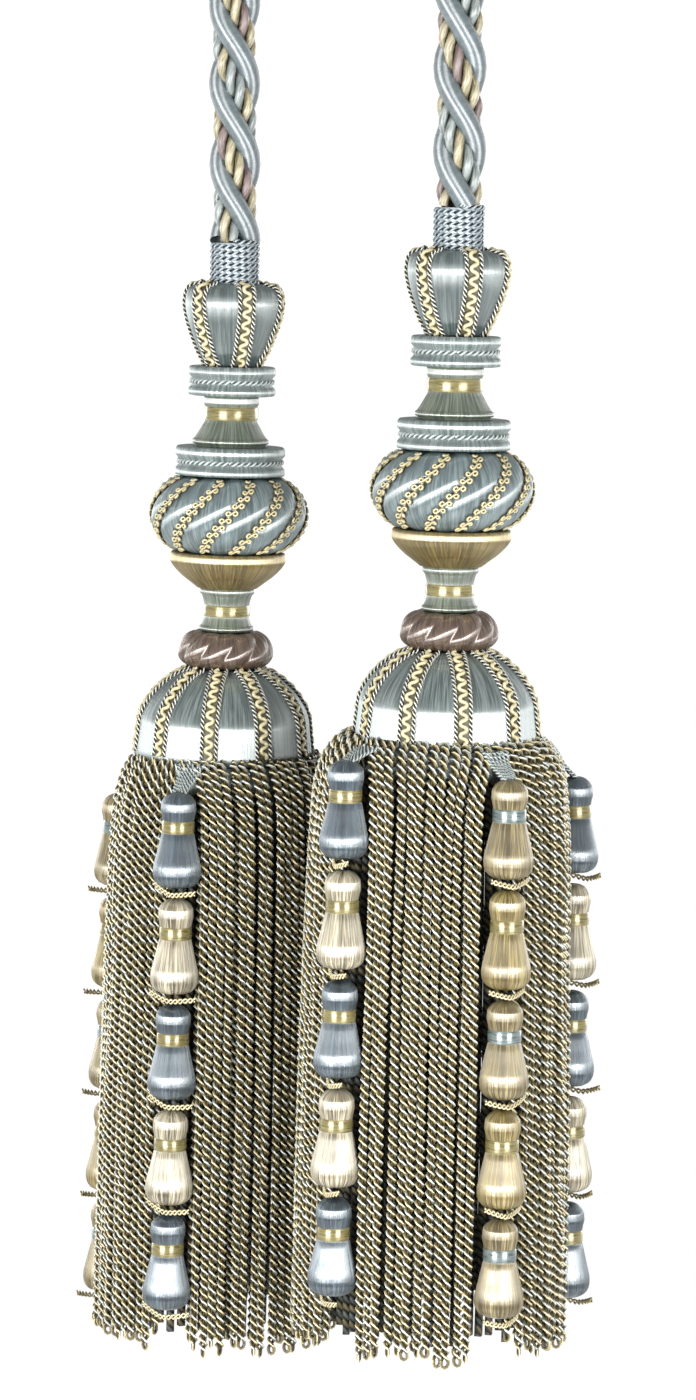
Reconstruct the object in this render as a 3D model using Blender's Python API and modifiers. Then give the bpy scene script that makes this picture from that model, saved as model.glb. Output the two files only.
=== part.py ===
"""A double tassel curtain tieback: two large key tassels on one thick laid rope.

The rope goes up from the right tassel, over a hook, and down to the left tassel. The origin is the point
where the loop of the rope rests on that hook. Sizes in this file are millimetres and the objects are in
metres, +Z up. The right tassel hangs nearer to the viewer, towards -Y.

Each tassel is built down its own axis, from 0 at the top of its collar, and is placed by an empty. An
azimuth is 0 towards -Y and 90 towards +X.
"""

import math
import random
from collections import namedtuple

import bmesh
import bpy
from mathutils import Vector

MM = 0.001
TIEBACK = "double_tassel_tieback"
MERGE = 0.00001
SEAT_GAP = 0.3  # between two pieces that touch

# ---------------------------------------------------------------- the two tassels
# x, y, z: the top of the collar. lean: how far the foot hangs towards -X, in degrees. skirt_shift: how far
# the fringe hangs to +X of the mould. fullness: the fringe's spread. string_columns: the root columns of
# the skirt that carry the strings of small tassels. first_azimuth: the azimuth of column 0.
# string_drops: how far under the dome each string's first small tassel hangs.
Tassel = namedtuple(
    "Tassel", "side x y z lean skirt_shift fullness first_azimuth string_columns string_drops")
TASSELS = (
    Tassel("right", 31.2, -25.0, -89.9, 1.26, -1.2, 1.0, -44.0,
           (0, 10, 20, 27, 35), (2.2, 5.8, 9.5, 6.0, 7.0)),
    Tassel("left", -31.2, 25.0, -100.1, 1.5, 1.5, 0.92, -115.2,
           (0, 13, 29, 36, 43), (13.2, 6.3, 7.0, 6.0, 8.0)),
)

# ---------------------------------------------------------------- rope
# along: distance from the middle of the loop towards the left tassel, in the upright plane through both
# ropes. up: height.
ROPE_ROUTE = (
    (-40.0, -89.4), (-40.0, -75.0), (-40.0, -61.0), (-40.1, -47.0), (-40.0, -33.5),
    (-37.6, -19.5), (-31.3, -8.2), (-22.0, 0.3), (-11.3, 5.3), (0.0, 6.9),
    (11.3, 5.3), (22.0, 0.3), (31.3, -8.2), (37.6, -19.5), (40.0, -33.5),
    (40.1, -47.0), (40.0, -61.0), (40.0, -75.0), (40.0, -89.0), (40.0, -99.6),
)
ROPE_LAY = 44.9  # one full turn of the plies
RINGS_PER_LAY = 12
SATIN_PLY_R = 6.9  # how far the two satin plies reach
MIXED_PLY_R = 6.3  # how far the two mixed plies reach
ROPE_VALLEY_R = 5.3
ROPE_PHASE = 67.0  # where a satin ply starts at the right collar, in degrees from across the loop

# ---------------------------------------------------------------- turned pieces of the head
# Each profile runs from the top to the bottom of the piece on its outer side, as (radius, height).
COLLAR_R = 7.1
COLLAR_BOTTOM = -11.4
COLLAR_RIDGES = 3
RIDGE_DEPTH = 0.5
TURNED_STEPS = 20

DISC_RIM = 1.3  # height of a disc's rim
DISC_WAIST_DEPTH = 0.9
Disc = namedtuple("Disc", "name radius top bottom")
DISCS = (
    Disc("disc_upper", 12.4, -35.3, -43.3),
    Disc("disc_lower", 15.65, -58.1, -66.0),
)
NECK_UPPER = ((7.6, -43.6), (7.5, -50.0), (8.6, -53.6), (10.8, -57.1), (10.8, -57.8))
SAUCER = ((15.4, -88.2), (16.2, -89.5), (15.9, -91.3), (14.6, -93.4), (11.5, -96.1), (8.7, -98.1))
NECK_LOWER = ((7.6, -98.4), (7.6, -99.5), (6.3, -104.3), (7.6, -109.2), (7.6, -110.3))

# ---------------------------------------------------------------- pieces with trims, lobes or gathers
BULB = ((7.4, -11.7), (8.8, -10.5), (12.9, -13.2), (14.1, -18.6), (12.5, -24.2), (9.9, -30.8), (7.2, -35.0))
BULB_TRIMS = 6
BULB_TRIM_AZIMUTH = 17.0
DOME = ((10.3, -121.5), (14.8, -123.6), (19.6, -127.8), (23.0, -132.5), (25.3, -138.0), (26.0, -147.0))
DOME_TRIMS = 10
DOME_TRIM_AZIMUTH = {"right": 9.0, "left": -8.0}
TRIM_HALF_WIDTH = 1.65
TRIM_HEIGHT = 1.0

# A lobed ring has a round tube of tube_r about a circle of centre_r. The lobes lean by swirl degrees for
# each millimetre of height.
Lobed = namedtuple("Lobed", "name centre_r tube_r top bottom lobes valley swirl first_valley")
BUN = Lobed("bun", 11.6, 10.8, -66.3, -87.9, 12, 1.7, 2.25, 0.0)
RUCHED_RING = Lobed("ring", 7.9, 5.8, -110.6, -121.2, 11, 1.0, 3.4, 2.0)
LOBE_RINGS = 7
POINTS_PER_LOBE = 3

# ---------------------------------------------------------------- skirt of bullion cords
DOME_FOOT = -147.0
BACKING_R = 24.5
BACKING_COLUMNS = 50
ROOT_ROW = 1.6  # height of a row of roots
ROOT_ROWS = 5
COLUMN_DEG = 360.0 / BACKING_COLUMNS
UNEVEN = 2.2  # how much longer or shorter a cord may be
SKIRT_SEED = 11

# stations: (radius, height under the dome, half angle of the space kept at each string)
Layer = namedtuple("Layer", "name rows width thickness pitch stations")
LAYERS = (
    Layer("outer", (0, 1), 2.7, 2.7, 5.4, ((30.3, -2.2, 10.5), (34.6, -17.0, 13.6), (37.2, -168.5, 13.6))),
    Layer("second", (2, 3), 2.7, 2.5, 5.7, ((29.3, -8.8, 9.5), (33.8, -166.0, 12.4))),
)
INNER_ROW = 4
INNER_WIDTH = 2.7
INNER_THICKNESS = 2.5
INNER_STATIONS = ((26.0, -13.0), (28.9, -164.0))

# ---------------------------------------------------------------- strings of small tassels
STRING_SIDES = 6
STRING_TASSELS = 5
STRING_PITCH = 30.1
STRING_TOP_R = 38.0  # distance of the string from the axis under the dome
STRING_LOW_R = 39.3  # and at the foot of the skirt
STRING_REACH = 170.0
THREAD_R = 0.9
THREAD_DROP = 1.5
# below: distance under the crown of the small tassel. across and deep: half sizes of the section.
Station = namedtuple("Station", "name below across deep")
SMALL_TASSEL = (
    Station("crown", 0.3, 3.2, 3.2),
    Station("head", 3.0, 5.0, 5.0),
    Station("waist", 9.5, 4.4, 4.4),
    Station("belly", 20.5, 6.9, 6.9),
    Station("base", 26.0, 4.6, 4.6),
    Station("tie_top", 27.1, 7.4, 1.8),
    Station("tie_foot", 29.2, 7.4, 1.8),
)

# ---------------------------------------------------------------- finishes
Finish = namedtuple("Finish", "colour roughness")
FINISHES = {
    "slate_satin": Finish("8b9aa0", 0.38),
    "sage_satin": Finish("8f9a8c", 0.45),
    "gold_satin": Finish("b89a68", 0.42),
    "mauve_satin": Finish("7d685f", 0.45),
    "whipping": Finish("8696a3", 0.6),
    "laid_rope": Finish("a3a08c", 0.5),
    "bullion": Finish("a09c84", 0.65),
    "blue_floss": Finish("6f7f90", 0.42),
    "beige_floss": Finish("d8c8b0", 0.42),
}


def linear_colour(hex_code):
    """The linear colour of an sRGB code such as 8b9aa0."""
    channels = [int(hex_code[i:i + 2], 16) / 255 for i in (0, 2, 4)]
    linear = [c / 12.92 if c <= 0.04045 else ((c + 0.055) / 1.055) ** 2.4 for c in channels]
    return (*linear, 1.0)


def make_material(name, finish):
    material = bpy.data.materials.new(name)
    material.use_nodes = True
    shader = material.node_tree.nodes["Principled BSDF"]
    shader.inputs["Base Color"].default_value = linear_colour(finish.colour)
    shader.inputs["Roughness"].default_value = finish.roughness
    shader.inputs["Metallic"].default_value = 0.0
    material.diffuse_color = linear_colour(finish.colour)
    return material


def place(name, mesh, finish, parent=None, shift=0.0, azimuth=None):
    """An object of its own with its own material, under the empty of its tassel."""
    piece = bpy.data.objects.new(name, mesh)
    bpy.data.collections[TIEBACK].objects.link(piece)
    piece.data.materials.append(make_material(name + "_finish", FINISHES[finish]))
    piece.parent = parent
    piece.location.x = shift * MM
    if azimuth is not None:
        piece.rotation_euler.z = math.radians(azimuth - 90.0)
    return piece


def mesh_from(bm, name):
    for vertex in bm.verts:
        vertex.co *= MM
    mesh = bpy.data.meshes.new(name)
    bm.to_mesh(mesh)
    bm.free()
    mesh.shade_smooth()
    mesh.set_sharp_from_angle(angle=math.radians(40))
    return mesh


def polar(radius, azimuth, height):
    angle = math.radians(azimuth)
    return Vector((radius * math.sin(angle), -radius * math.cos(angle), height))


# ---------------------------------------------------------------- shapes
def turned(name, profile, finish, parent):
    """A profile turned once about the axis with a Screw, closed on the axis at both ends."""
    points = [(0.0, profile[0][1]), *profile, (0.0, profile[-1][1])]
    mesh = bpy.data.meshes.new(name)
    mesh.from_pydata([(r * MM, 0, z * MM) for r, z in points],
                     [(i, i + 1) for i in range(len(points) - 1)], [])
    piece = place(name, mesh, finish, parent)
    screw = piece.modifiers.new("turn", "SCREW")
    screw.steps = TURNED_STEPS
    screw.render_steps = TURNED_STEPS
    screw.use_merge_vertices = True
    screw.merge_threshold = MERGE
    return piece


def loft(rings, name):
    """One closed skin over rings of points, each ring counter-clockwise seen from its far side."""
    bm = bmesh.new()
    layers = [[bm.verts.new(point) for point in ring] for ring in rings]
    for near, far in zip(layers, layers[1:]):
        for i in range(len(near)):
            j = (i + 1) % len(near)
            bm.faces.new((near[i], near[j], far[j], far[i]))
    bm.faces.new(list(reversed(layers[0])))
    bm.faces.new(layers[-1])
    return mesh_from(bm, name)


# ---------------------------------------------------------------- rope
def smooth_route(points, step):
    """Points every step along a Catmull-Rom curve through the given points."""
    fine = []
    padded = [2 * points[0] - points[1], *points, 2 * points[-1] - points[-2]]
    pieces = 24
    for a, b, c, d in zip(padded, padded[1:], padded[2:], padded[3:]):
        for k in range(pieces):
            t = k / pieces
            fine.append(0.5 * (2 * b + (c - a) * t + (2 * a - 5 * b + 4 * c - d) * t ** 2
                               + (3 * b - a - 3 * c + d) * t ** 3))
    fine.append(points[-1])
    length = sum((b - a).length for a, b in zip(fine, fine[1:]))
    count = round(length / step)
    even = [fine[0]]
    walked = 0.0
    for a, b in zip(fine, fine[1:]):
        stride = (b - a).length
        while len(even) < count and walked + stride >= len(even) * length / count:
            even.append(a.lerp(b, (len(even) * length / count - walked) / stride))
        walked += stride
    even.append(fine[-1])
    return even


def rope_points():
    right, left = (Vector((t.x, t.y, 0.0)) for t in TASSELS)
    middle = (right + left) / 2
    towards_left = (left - right).normalized()
    return [middle + towards_left * along + Vector((0, 0, up)) for along, up in ROPE_ROUTE]


def make_rope():
    """Four plies in an S lay: each ring of the loft is turned a little on the one before."""
    centres = smooth_route(rope_points(), ROPE_LAY / RINGS_PER_LAY)
    stride = (centres[1] - centres[0]).length
    reach = (SATIN_PLY_R, ROPE_VALLEY_R, MIXED_PLY_R, ROPE_VALLEY_R) * 2
    loop_normal = (centres[-1] - centres[0]).cross(Vector((0, 0, 1))).normalized()
    rings = []
    for k, centre in enumerate(centres):
        along = (centres[min(k + 1, len(centres) - 1)] - centres[max(k - 1, 0)]).normalized()
        across = loop_normal.cross(along).normalized()
        turn = math.radians(ROPE_PHASE - 360 * k * stride / ROPE_LAY)
        ring = []
        for i, radius in enumerate(reach):
            angle = turn + 2 * math.pi * i / len(reach)
            ring.append(centre + radius * (math.cos(angle) * loop_normal - math.sin(angle) * across))
        rings.append(ring)
    place("rope", loft(rings, "rope"), "laid_rope")


# ---------------------------------------------------------------- head
def collar_profile():
    """Rounded ridges, one above the other, as the turns of a whipping."""
    height = -COLLAR_BOTTOM / COLLAR_RIDGES
    profile = [(COLLAR_R - RIDGE_DEPTH, 0.0)]
    for k in range(COLLAR_RIDGES):
        profile.append((COLLAR_R, -(k + 0.5) * height))
        profile.append((COLLAR_R - RIDGE_DEPTH, -(k + 1) * height))
    return profile


def disc_profile(disc):
    waist = disc.radius - DISC_WAIST_DEPTH
    return (
        (disc.radius, disc.top), (disc.radius, disc.top - DISC_RIM),
        (waist, disc.top - DISC_RIM - DISC_WAIST_DEPTH), (waist, disc.bottom + DISC_RIM + DISC_WAIST_DEPTH),
        (disc.radius, disc.bottom + DISC_RIM), (disc.radius, disc.bottom),
    )


def trimmed_rings(profile, trims, first_azimuth):
    """Rings of a turned form with a raised trim, sewn on from top to foot, every 360 / trims degrees."""
    period = 360.0 / trims
    rings = []
    for radius, height in profile:
        half = math.degrees(TRIM_HALF_WIDTH / radius)
        ring = []
        for k in range(trims):
            middle = first_azimuth + k * period
            for offset, raised in ((-half, 0.0), (0.0, TRIM_HEIGHT), (half, 0.0), (period / 2, 0.0)):
                ring.append(polar(radius + raised, middle + offset, height))
        rings.append(ring)
    return list(reversed(rings))


def lobed_rings(form):
    """Rings of a ring-shaped pad, with a valley between each two lobes that leans as the height changes."""
    middle = (form.top + form.bottom) / 2
    half_height = (form.top - form.bottom) / 2
    count = form.lobes * POINTS_PER_LOBE
    rings = []
    for k in range(LOBE_RINGS):
        lift = -1 + 2 * k / (LOBE_RINGS - 1)
        tilt = math.asin(lift) * 0.86
        height = middle + half_height * math.sin(tilt) / math.sin(math.pi / 2 * 0.86)
        radius = form.centre_r + form.tube_r * math.cos(tilt)
        azimuth = form.first_valley + form.swirl * (height - middle)
        ring = []
        for i in range(count):
            sunk = form.valley if i % POINTS_PER_LOBE == 0 else 0.0
            ring.append(polar(radius - sunk, azimuth + 360.0 * i / count, height))
        rings.append(ring)
    return rings


def make_head(tassel, axis):
    side = tassel.side + "_"
    turned(side + "collar", collar_profile(), "whipping", axis)
    bulb = trimmed_rings(BULB, BULB_TRIMS, BULB_TRIM_AZIMUTH)
    place(side + "bulb", loft(bulb, side + "bulb"), "slate_satin", axis)
    for disc in DISCS:
        turned(side + disc.name, disc_profile(disc), "slate_satin", axis)
    turned(side + "neck_upper", NECK_UPPER, "sage_satin", axis)
    place(side + "bun", loft(lobed_rings(BUN), side + "bun"), "slate_satin", axis)
    turned(side + "saucer", SAUCER, "gold_satin", axis)
    turned(side + "neck_lower", NECK_LOWER, "sage_satin", axis)
    place(side + "ring", loft(lobed_rings(RUCHED_RING), side + "ring"), "mauve_satin", axis)
    dome = trimmed_rings(DOME, DOME_TRIMS, DOME_TRIM_AZIMUTH[tassel.side])
    place(side + "dome", loft(dome, side + "dome"), "slate_satin", axis)


# ---------------------------------------------------------------- skirt
def string_gaps(tassel):
    """Each string's column with the number of columns to the next string."""
    starts = tassel.string_columns
    ends = (*starts[1:], starts[0] + BACKING_COLUMNS)
    return [(start, end - start) for start, end in zip(starts, ends)]


def layer_strands(tassel, layer):
    """Root cell and path of each cord of a layer, spread evenly between the spaces of two strings."""
    strands = {}
    for first, columns in string_gaps(tassel):
        azimuth = tassel.first_azimuth + first * COLUMN_DEG
        gap = columns * COLUMN_DEG
        widest = layer.stations[-1][2]
        count = min(columns - 1, int((gap - 2 * widest) / layer.pitch) + 1)
        for i in range(count):
            column = first + 1 + round(i * (columns - 2) / (count - 1))
            row = layer.rows[0] if (column - layer.rows[0]) % 2 == 0 else layer.rows[1]
            path = []
            for radius, height, space in layer.stations:
                share = space + (gap - 2 * space) * i / (count - 1)
                path.append((radius * tassel.fullness, azimuth + share, height))
            strands[row, column % BACKING_COLUMNS] = (path, layer.width, layer.thickness)
    return strands


def inner_strands(tassel):
    strands = {}
    for column in range(0, BACKING_COLUMNS, 2):
        azimuth = tassel.first_azimuth + column * COLUMN_DEG
        path = [(radius * tassel.fullness, azimuth, height) for radius, height in INNER_STATIONS]
        strands[INNER_ROW, column] = (path, INNER_WIDTH, INNER_THICKNESS)
    return strands


def grow_strand(bm, cell, path, width, thickness):
    """A four-sided cord grown from its root cell, through each station of its path, and closed at its foot."""
    centre = sum((vertex.co for vertex in cell), Vector()) / len(cell)
    points = [centre] + [polar(radius, azimuth, DOME_FOOT + height) for radius, azimuth, height in path]
    near = cell
    for k in range(1, len(points)):
        azimuth = math.radians(path[k - 1][1])
        sideways = Vector((math.cos(azimuth), math.sin(azimuth), 0.0))
        before = (points[k] - points[k - 1]).normalized()
        after = (points[min(k + 1, len(points) - 1)] - points[k]).normalized()
        outwards = sideways.cross(-(before + after)).normalized()
        half_width = sideways * width / 2
        half_depth = outwards * thickness / 2
        far = [
            bm.verts.new(points[k] - half_width + half_depth),
            bm.verts.new(points[k] - half_width - half_depth),
            bm.verts.new(points[k] + half_width - half_depth),
            bm.verts.new(points[k] + half_width + half_depth),
        ]
        for i in range(4):
            j = (i + 1) % 4
            bm.faces.new((near[i], near[j], far[j], far[i]))
        near = far
    bm.faces.new(near)


def make_skirt(tassel, axis):
    """A round heading with a cell for each cord's root; the cords stand apart below it."""
    strands = inner_strands(tassel)
    for layer in LAYERS:
        strands.update(layer_strands(tassel, layer))
    uneven = random.Random(SKIRT_SEED)
    bm = bmesh.new()
    levels = []
    for level in range(ROOT_ROWS + 1):
        height = DOME_FOOT - SEAT_GAP - level * ROOT_ROW
        azimuths = [tassel.first_azimuth + (column - 0.5) * COLUMN_DEG for column in range(BACKING_COLUMNS)]
        levels.append([bm.verts.new(polar(BACKING_R, azimuth, height)) for azimuth in azimuths])
    for row in range(ROOT_ROWS):
        for column in range(BACKING_COLUMNS):
            after = (column + 1) % BACKING_COLUMNS
            cell = (levels[row][column], levels[row + 1][column], levels[row + 1][after], levels[row][after])
            if (row, column) not in strands:
                bm.faces.new(cell)
                continue
            path, width, thickness = strands[row, column]
            radius, azimuth, height = path[-1]
            foot = (radius, azimuth, height + uneven.uniform(-UNEVEN, UNEVEN))
            grow_strand(bm, cell, [*path[:-1], foot], width, thickness)
    bm.faces.new(levels[0])
    bm.faces.new(list(reversed(levels[-1])))
    name = tassel.side + "_skirt"
    place(name, mesh_from(bm, name), "bullion", axis, tassel.skirt_shift)


# ---------------------------------------------------------------- strings
def string_radius(tassel, height):
    reach = STRING_TOP_R + (STRING_LOW_R - STRING_TOP_R) * -height / STRING_REACH
    return reach * tassel.fullness


def string_stations(tassel, drop):
    """Centre (outwards, height) and half sizes of each section, from the heading to the last tie."""
    top = string_radius(tassel, -drop)
    stations = [
        (BACKING_R + SEAT_GAP, -THREAD_DROP, THREAD_R, THREAD_R),
        (top - 2.5 - 0.2 * drop, -THREAD_DROP, THREAD_R, THREAD_R),
        (top, -drop, THREAD_R, THREAD_R),
    ]
    for k in range(STRING_TASSELS):
        for station in SMALL_TASSEL:
            height = -drop - k * STRING_PITCH - station.below
            stations.append((string_radius(tassel, height), height, station.across, station.deep))
    return stations


def make_string(tassel, axis, number, column, drop):
    """A string of small tassels that comes out of the heading and hangs straight, as one skin."""
    stations = string_stations(tassel, drop)
    points = [Vector((reach, 0.0, DOME_FOOT + height)) for reach, height, _, _ in stations]
    sideways = Vector((0.0, 1.0, 0.0))
    rings = []
    for k, (_, _, across, deep) in enumerate(stations):
        before = (points[k] - points[max(k - 1, 0)]).normalized()
        after = (points[min(k + 1, len(points) - 1)] - points[k]).normalized()
        outwards = sideways.cross(-(before + after)).normalized()
        ring = []
        for i in range(STRING_SIDES):
            angle = 2 * math.pi * i / STRING_SIDES
            ring.append(points[k] + sideways * across * math.cos(angle) + outwards * deep * math.sin(angle))
        rings.append(ring)
    name = f"{tassel.side}_string_{number}"
    finish = "blue_floss" if number % 2 else "beige_floss"
    azimuth = tassel.first_azimuth + column * COLUMN_DEG
    place(name, loft(rings, name), finish, axis, tassel.skirt_shift, azimuth)


# ---------------------------------------------------------------- whole tieback
def start_scene():
    for piece in list(bpy.data.objects):
        bpy.data.objects.remove(piece)
    collection = bpy.data.collections.new(TIEBACK)
    bpy.context.scene.collection.children.link(collection)


def main():
    start_scene()
    make_rope()
    for tassel in TASSELS:
        axis = bpy.data.objects.new(tassel.side + "_axis", None)
        bpy.data.collections[TIEBACK].objects.link(axis)
        axis.location = Vector((tassel.x, tassel.y, tassel.z)) * MM
        axis.rotation_euler.y = math.radians(tassel.lean)
        make_head(tassel, axis)
        make_skirt(tassel, axis)
        for number, (column, drop) in enumerate(zip(tassel.string_columns, tassel.string_drops), 1):
            make_string(tassel, axis, number, column, drop)
    bpy.context.view_layer.update()


main()
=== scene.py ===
"""Looks of the double tassel curtain tieback: its rope, moulds, braids, bullion fringe and small tassels.

Sizes in this file are millimetres, as in the construction, and become metres when a piece is made. Each
tassel is shaped down its own axis, from 0 at the top of its collar. An azimuth is 0 towards -Y, where the
camera stands, and 90 towards +X. A line of points runs as an array of rows (x, y, z).
"""

import math
from collections import namedtuple

import bpy
import numpy as np
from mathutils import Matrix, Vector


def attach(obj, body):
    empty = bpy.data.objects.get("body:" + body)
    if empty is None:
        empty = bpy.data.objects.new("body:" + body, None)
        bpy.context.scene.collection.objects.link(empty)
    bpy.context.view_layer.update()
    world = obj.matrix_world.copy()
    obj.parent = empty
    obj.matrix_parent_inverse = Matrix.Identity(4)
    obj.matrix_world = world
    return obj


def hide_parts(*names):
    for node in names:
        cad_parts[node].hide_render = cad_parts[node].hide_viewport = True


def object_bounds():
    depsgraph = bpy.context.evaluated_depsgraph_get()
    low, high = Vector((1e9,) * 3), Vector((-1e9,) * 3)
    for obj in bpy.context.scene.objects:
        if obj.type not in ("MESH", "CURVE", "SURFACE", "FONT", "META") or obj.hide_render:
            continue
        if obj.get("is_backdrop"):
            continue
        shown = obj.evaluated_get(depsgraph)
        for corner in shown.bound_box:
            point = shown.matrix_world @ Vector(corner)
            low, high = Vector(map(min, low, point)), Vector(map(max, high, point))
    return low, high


MM = 0.001

# -------- the two tassels, as they are built
# x, y, z: the top of the collar. lean: degrees, with the foot towards -X. skirt_shift: of the skirt and its
# strings, sideways. fullness: of the fringe. first_azimuth: of the fringe's column 0. string_columns: where
# each string hangs. string_drops: from the dome's foot down to each string's first crown. dome_trim: azimuth
# of the dome's first trim.
Tassel = namedtuple(
    "Tassel", "side x y z lean skirt_shift fullness first_azimuth string_columns string_drops dome_trim")
TASSELS = (
    Tassel("right", 31.2, -25.0, -89.9, 1.26, -1.2, 1.0, -44.0,
           (0, 10, 20, 27, 35), (2.2, 5.8, 9.5, 6.0, 7.0), 9.0),
    Tassel("left", -31.2, 25.0, -100.1, 1.5, 1.5, 0.92, -115.2,
           (0, 13, 29, 36, 43), (13.2, 6.3, 7.0, 6.0, 8.0), -8.0),
)

# -------- camera
SENSOR = 36.0
LENS = 121.1
CAMERA_PLACE = (0.8, -1317.4, -84.8)
CAMERA_PITCH = 6.2  # degrees downwards
CAMERA_CLIP = (0.05, 50.0)  # metres

# -------- rope
# (distance from the middle of the loop towards the left tassel, height)
ROPE_ROUTE = (
    (-40.0, -89.4), (-40.0, -75.0), (-40.0, -61.0), (-40.1, -47.0), (-40.0, -33.5),
    (-37.6, -19.5), (-31.3, -8.2), (-22.0, 0.3), (-11.3, 5.3), (0.0, 6.9),
    (11.3, 5.3), (22.0, 0.3), (31.3, -8.2), (37.6, -19.5), (40.0, -33.5),
    (40.1, -47.0), (40.0, -61.0), (40.0, -75.0), (40.0, -89.0), (40.0, -99.6),
)
ROPE_LAY = 44.9  # one full turn of the plies
ROPE_PHASE = 67.0  # where a satin ply starts, in degrees from across the loop
ROPE_STEP = 0.62
SATIN_CENTRE_R = 4.2  # from the rope's axis to a satin ply's
SATIN_R = 3.05
MIXED_CENTRE_R = 3.3
YARN_CENTRE_R = 1.68  # from a mixed ply's axis to a yarn's
YARN_R = 1.36
YARN_PITCH = 12.6
SATIN_SIDES = 14
YARN_SIDES = 7
CORD_STEP = 4.0  # between the points of the rope's line whose length make_rope works out

# -------- head, (radius, height) from top to bottom
COLLAR_R = 7.1
COLLAR_TOP = 0.3
COLLAR_BOTTOM = -11.9
WHIPPING_PITCH = 1.6
WHIPPING_R = 0.44
WHIPPING_STEP = 0.58
WHIPPING_LAY = 4.0
WHIPPING_SUNK = 0.75  # from the collar's radius in to the middle of the cord
COLLAR_CORE = ((-0.2, -0.1), (0.0, -1.0), (0.0, -11.2), (-0.2, -12.0))  # (out from that middle, height)
COLLAR_SIDES = 48
COLLAR_STEP = 1.5
MOULD_SIDES = 96
NECK_SIDES = 72
DOME_SIDES = 120
MOULD_STEP = 0.5
LONG_STEP = 0.8  # on the bulb and the dome
BULB = ((7.0, -12.2), (8.9, -11.7), (12.2, -12.6), (13.2, -13.8), (13.55, -15.0), (13.7, -16.6),
        (13.7, -18.0), (13.0, -21.6), (11.9, -25.0), (9.7, -30.5), (7.2, -35.0))
DOME = ((10.3, -121.4), (14.8, -123.4), (19.6, -127.4), (22.9, -131.9), (24.25, -135.4), (24.65, -138.8),
        (25.05, -142.3), (25.35, -145.4), (24.95, -147.0))
DISC_UPPER = ((9.0, -35.1), (11.6, -35.0), (12.25, -35.4), (12.42, -35.7), (12.44, -36.0), (12.5, -37.0),
              (12.45, -37.2), (12.2, -37.5), (11.6, -38.2), (11.45, -39.3), (11.6, -40.4), (12.1, -41.1),
              (12.4, -41.35), (12.44, -41.5), (12.5, -42.5), (12.4, -42.8), (11.8, -43.3), (8.5, -43.4))
DISC_LOWER = ((11.0, -57.9), (14.8, -57.8), (15.4, -58.2), (15.6, -58.5), (15.63, -58.8), (15.7, -60.0),
              (15.65, -60.2), (15.4, -60.5), (14.8, -61.2), (14.6, -62.1), (14.8, -63.1), (15.3, -63.8),
              (15.6, -64.05), (15.64, -64.2), (15.7, -65.2), (15.6, -65.5), (15.0, -66.0), (10.0, -66.1))
NECK_UPPER = ((7.5, -43.4), (7.76, -43.5), (7.8, -43.7), (7.9, -45.5), (7.8, -45.8), (7.45, -46.4),
              (7.35, -47.0), (7.35, -50.2), (8.2, -52.0), (9.4, -54.1), (10.4, -55.6), (10.78, -55.75),
              (10.82, -55.9), (10.9, -56.8), (10.8, -57.0), (10.0, -57.1), (10.0, -57.95))
SAUCER = ((14.2, -87.9), (15.9, -87.95), (16.25, -88.2), (16.36, -88.5), (16.5, -90.3), (16.3, -91.0),
          (15.2, -92.6), (13.0, -94.8), (10.4, -96.8), (8.6, -98.2))
NECK_LOWER = ((7.4, -98.2), (7.68, -98.3), (7.72, -98.45), (7.82, -99.6), (7.7, -99.8), (7.2, -100.2),
              (6.8, -101.4), (6.5, -102.8), (6.35, -104.6), (6.5, -106.6), (6.95, -108.2), (7.3, -109.1),
              (7.66, -109.2), (7.7, -109.35), (7.78, -110.1), (7.7, -110.25), (7.1, -110.3), (7.1, -110.6))
GOLD_BAND_UPPER = ((7.4, -46.5), (7.75, -46.9), (7.75, -49.9), (7.5, -50.3))
GOLD_BAND_LOWER = ((6.5, -103.1), (6.75, -103.5), (6.75, -105.9), (6.6, -106.3))
WAIST_BRAID_R = 0.8
WAIST_PITCH = 3.6
WAIST_POINTS = 241
DISC_BRAIDS = ((11.6, -39.3), (14.75, -62.1))

TRIM_SPACING = 2.1  # from the middle of a trim to its side cords
TRIM_CORD_R = 0.34
TRIM_CORD_PITCH = 2.8
TRIM_CORD_POINTS = 6  # in one turn
TRIM_TAPE_THICK = 0.14
GIMP_AMPLITUDE = 0.9
GIMP_WAVE = 3.3
GIMP_R = 0.66
GIMP_START = 0.3  # from the top of the mould's line
GIMP_SHORT = 0.7  # how much shorter than that line it is
GIMP_BEND = 0.13  # rounds its waves
GIMP_LIFT = (0.8, 0.25)  # height above the mould and its swing, in radii
GIMP_TURN = math.pi / 6  # of a wave, between two points
PLY_NEST = 0.92  # from a twisted cord's axis to a ply's, in radii of the ply
BULB_TRIMS = 6
BULB_TRIM_AZIMUTH = 17.0
DOME_TRIMS = 10

Lobed = namedtuple("Lobed", "centre_r tube_r top bottom widest lobes valley swirl first_valley")
BUN = Lobed(11.6, 10.8, -66.3, -87.9, -77.1, 12, 1.6, 2.25, 0.0)
RUCHED_RING = Lobed(7.9, 5.8, -110.6, -121.2, -117.0, 11, 1.0, 3.4, 2.0)
LOBED_STRETCH = 0.86
BRAID_REACH = 1.08
BRAID_R = 0.41
BRAID_WAVE = 2.7
BRAID_START = 0.8
BRAID_SHORT = 1.6
BRAID_LOOP = 0.95  # how far its loops swing back and forth
BRAID_SQUARE = 0.2  # widens its loops at their sides
BRAID_LIFT = (0.1, 0.22, 0.3)  # height, more where it crosses over, more at its sides
BRAID_TURN = math.pi / 8  # of a wave, between two points
BRAID_POINTS = 60  # along the valley that it lies in
BRAID_ABOVE = 1.25
LOBED_RINGS = 36
LOBE_POINTS = 12
VALLEY_SHARP = 0.85  # under 1 narrows the valleys
VALLEY_LEVEL = 0.4  # how much flatter a pad is along its valleys

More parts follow.
